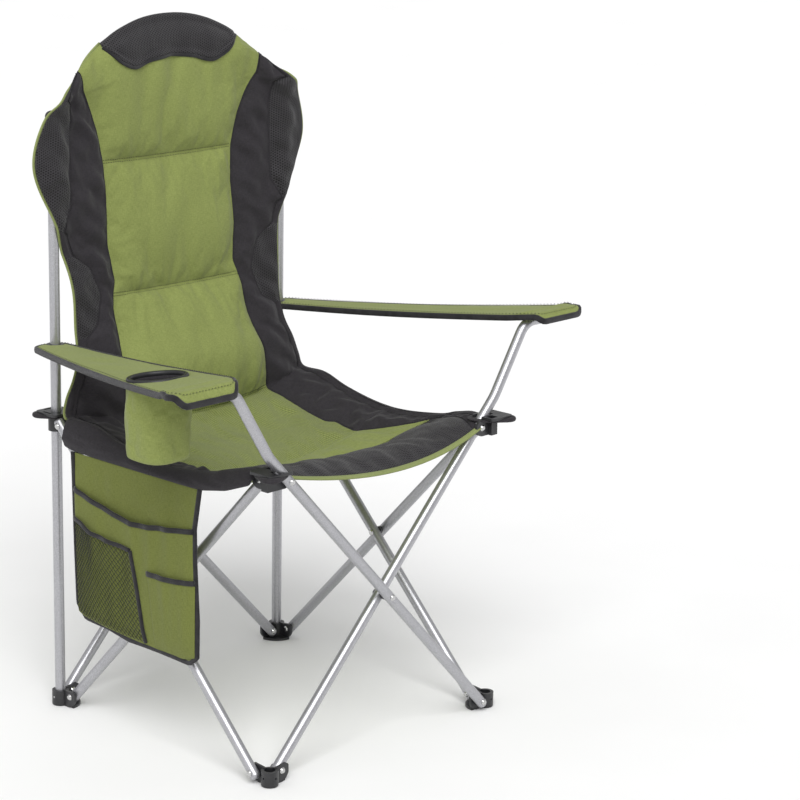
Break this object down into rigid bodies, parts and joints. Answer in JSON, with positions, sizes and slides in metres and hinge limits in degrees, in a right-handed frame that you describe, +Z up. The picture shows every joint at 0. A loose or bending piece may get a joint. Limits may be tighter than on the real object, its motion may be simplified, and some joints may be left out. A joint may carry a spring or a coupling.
{
  "type": "folding camp chair",
  "caption": "High-back padded camp chair on a folding crossed-tube frame, with fabric arms, a cup pocket and a side pocket.",
  "frame": {"origin": "on the floor under the middle of the frame", "axes": "+Z up, the sitter faces -Y, +X is the right-hand side seen from the front"},
  "size_m": [0.851, 0.516, 1.0574],
  "materials": {
    "green_fabric": "woven polyester, matt",
    "black_mesh": "open mesh",
    "silver_tube": "satin silver",
    "black_plastic": "moulded, semi-gloss",
    "rivet_steel": "bright",
    "nylon": "matt"
  },
  "bodies": {
    "rear_left_leg": {"foot_rear_left": "black_plastic", "pole_left": "silver_tube", "pole_cap_left": "black_plastic", "pole_pin_left": "rivet_steel", "foot_rivets_rear_left": "rivet_steel", "back_pad": "green_fabric"},
    "rear_right_leg": {"foot_rear_right": "black_plastic", "pole_right": "silver_tube", "pole_cap_right": "black_plastic", "pole_pin_right": "rivet_steel", "foot_rivets_rear_right": "rivet_steel"},
    "front_left_foot": {"foot_front_left": "black_plastic", "foot_rivets_front_left": "rivet_steel"},
    "front_right_foot": {"foot_front_right": "black_plastic", "foot_rivets_front_right": "rivet_steel"},
    "rear_left_hub": {"hub_rear_left": "black_plastic", "hub_rivets_rear_left": "rivet_steel", "pocket_panel": "green_fabric", "pocket_large": "green_fabric", "pocket_mesh": "black_mesh", "pocket_pen": "green_fabric"},
    "rear_right_hub": {"hub_rear_right": "black_plastic", "hub_rivets_rear_right": "rivet_steel"},
    "front_left_hub": {"hub_front_left": "black_plastic", "hub_rivets_front_left": "rivet_steel"},
    "front_right_hub": {"hub_front_right": "black_plastic", "hub_rivets_front_right": "rivet_steel"},
    "seat_rear_half": {"seat_rear": "green_fabric"},
    "seat_front_half": {"seat_front": "green_fabric"},
    "left_arm": {"arm_left": "green_fabric", "arm_ring_left": "black_plastic", "cup_ring": "nylon", "cup_pocket": "green_fabric"},
    "right_arm": {"arm_right": "green_fabric", "arm_ring_right": "black_plastic"},
    "left_inner_tube": {"tube_left_inner": "silver_tube"},
    "left_outer_tube": {"tube_left_outer": "silver_tube", "crossing_rivet_left": "rivet_steel", "crossing_spacer_left": "nylon"},
    "right_inner_tube": {"tube_right_inner": "silver_tube"},
    "right_outer_tube": {"tube_right_outer": "silver_tube", "crossing_rivet_right": "rivet_steel", "crossing_spacer_right": "nylon"},
    "rear_inner_tube": {"tube_rear_inner": "silver_tube"},
    "rear_outer_tube": {"tube_rear_outer": "silver_tube", "crossing_rivet_rear": "rivet_steel", "crossing_spacer_rear": "nylon"},
    "front_inner_tube": {"tube_front_inner": "silver_tube", "post_cap_right": "black_plastic"},
    "front_outer_tube": {"tube_front_outer": "silver_tube", "post_cap_left": "black_plastic", "crossing_rivet_front": "rivet_steel", "crossing_spacer_front": "nylon"}
  },
  "joints": [
    {"name": "fold", "type": "hinge", "parent": "rear_left_leg", "child": "left_inner_tube", "pos_m": [-0.235, 0.211, 0.017], "axis": [-1, 0, 0], "range_deg": [0, 41], "deforming": ["back_pad", "seat_rear", "seat_front", "arm_left", "arm_right", "cup_pocket", "cup_ring", "pocket_panel", "pocket_large", "pocket_mesh", "pocket_pen"]},
    {"name": "left_crossing", "type": "hinge", "parent": "left_inner_tube", "child": "left_outer_tube", "pos_m": [-0.235, 0, 0.2365], "axis": [1, 0, 0], "range_deg": [0, 82]},
    {"name": "rear_left_hub_pivot", "type": "hinge", "parent": "left_outer_tube", "child": "rear_left_hub", "pos_m": [-0.235, 0.211, 0.456], "axis": [-1, 0, 0], "range_deg": [0, 41]},
    {"name": "front_left_foot_pivot", "type": "hinge", "parent": "left_outer_tube", "child": "front_left_foot", "pos_m": [-0.235, -0.211, 0.017], "axis": [-1, 0, 0], "range_deg": [0, 41]},
    {"name": "front_left_hub_pivot", "type": "hinge", "parent": "left_inner_tube", "child": "front_left_hub", "pos_m": [-0.235, -0.211, 0.456], "axis": [1, 0, 0], "range_deg": [0, 41]},
    {"name": "left_arm_post_pivot", "type": "hinge", "parent": "front_left_hub", "child": "front_outer_tube", "pos_m": [-0.211, -0.235, 0.456], "axis": [0, 1, 0], "range_deg": [0, 41]},
    {"name": "front_right_foot_pivot", "type": "hinge", "parent": "front_outer_tube", "child": "front_right_foot", "pos_m": [0.211, -0.235, 0.017], "axis": [0, -1, 0], "range_deg": [0, 41]},
    {"name": "front_crossing", "type": "hinge", "parent": "front_outer_tube", "child": "front_inner_tube", "pos_m": [0, -0.235, 0.2365], "axis": [0, -1, 0], "range_deg": [0, 82]},
    {"name": "front_right_hub_pivot", "type": "hinge", "parent": "front_inner_tube", "child": "front_right_hub", "pos_m": [0.211, -0.235, 0.456], "axis": [0, 1, 0], "range_deg": [0, 41]},
    {"name": "rear_outer_foot_pivot", "type": "hinge", "parent": "rear_left_leg", "child": "rear_outer_tube", "pos_m": [-0.211, 0.235, 0.017], "axis": [0, -1, 0], "range_deg": [0, 41]},
    {"name": "rear_right_hub_pivot", "type": "hinge", "parent": "rear_outer_tube", "child": "rear_right_hub", "pos_m": [0.211, 0.235, 0.456], "axis": [0, 1, 0], "range_deg": [0, 41]},
    {"name": "rear_crossing", "type": "hinge", "parent": "rear_outer_tube", "child": "rear_inner_tube", "pos_m": [0, 0.235, 0.2365], "axis": [0, 1, 0], "range_deg": [0, 82]},
    {"name": "rear_right_foot_pivot", "type": "hinge", "parent": "rear_inner_tube", "child": "rear_right_leg", "pos_m": [0.211, 0.235, 0.017], "axis": [0, -1, 0], "range_deg": [0, 41]},
    {"name": "right_inner_hub_pivot", "type": "hinge", "parent": "rear_right_hub", "child": "right_inner_tube", "pos_m": [0.235, 0.211, 0.456], "axis": [1, 0, 0], "range_deg": [0, 41]},
    {"name": "right_crossing", "type": "hinge", "parent": "right_inner_tube", "child": "right_outer_tube", "pos_m": [0.235, 0, 0.2365], "axis": [-1, 0, 0], "range_deg": [0, 82]},
    {"name": "seat_rear_fold", "type": "hinge", "parent": "rear_left_hub", "child": "seat_rear_half", "pos_m": [0, 0.235, 0.466], "axis": [1, 0, 0], "range_deg": [0, 61.5]},
    {"name": "seat_front_fold", "type": "hinge", "parent": "front_left_hub", "child": "seat_front_half", "pos_m": [0, -0.235, 0.466], "axis": [-1, 0, 0], "range_deg": [0, 61.5]},
    {"name": "left_arm_slide", "type": "slide", "parent": "rear_left_leg", "child": "left_arm", "axis": [0, 0, 1], "range_m": [0, 0.2026]},
    {"name": "right_arm_slide", "type": "slide", "parent": "rear_right_leg", "child": "right_arm", "axis": [0, 0, 1], "range_m": [0, 0.2026]}
  ],
  "couplings": [
    {"joint": "left_crossing", "follows": "fold", "ratio": 2},
    {"joint": "rear_left_hub_pivot", "follows": "fold", "ratio": 1},
    {"joint": "front_left_foot_pivot", "follows": "fold", "ratio": 1},
    {"joint": "front_left_hub_pivot", "follows": "fold", "ratio": 1},
    {"joint": "left_arm_post_pivot", "follows": "fold", "ratio": 1},
    {"joint": "front_right_foot_pivot", "follows": "fold", "ratio": 1},
    {"joint": "front_crossing", "follows": "fold", "ratio": 2},
    {"joint": "front_right_hub_pivot", "follows": "fold", "ratio": 1},
    {"joint": "rear_outer_foot_pivot", "follows": "fold", "ratio": 1},
    {"joint": "rear_right_hub_pivot", "follows": "fold", "ratio": 1},
    {"joint": "rear_crossing", "follows": "fold", "ratio": 2},
    {"joint": "rear_right_foot_pivot", "follows": "fold", "ratio": 1},
    {"joint": "right_inner_hub_pivot", "follows": "fold", "ratio": 1},
    {"joint": "right_crossing", "follows": "fold", "ratio": 2},
    {"joint": "seat_rear_fold", "follows": "fold", "ratio": 1.5},
    {"joint": "seat_front_fold", "follows": "fold", "ratio": 1.5},
    {"joint": "left_arm_slide", "follows": "fold", "m_per_rad": 0.28299},
    {"joint": "right_arm_slide", "follows": "fold", "m_per_rad": 0.28299}
  ]
}
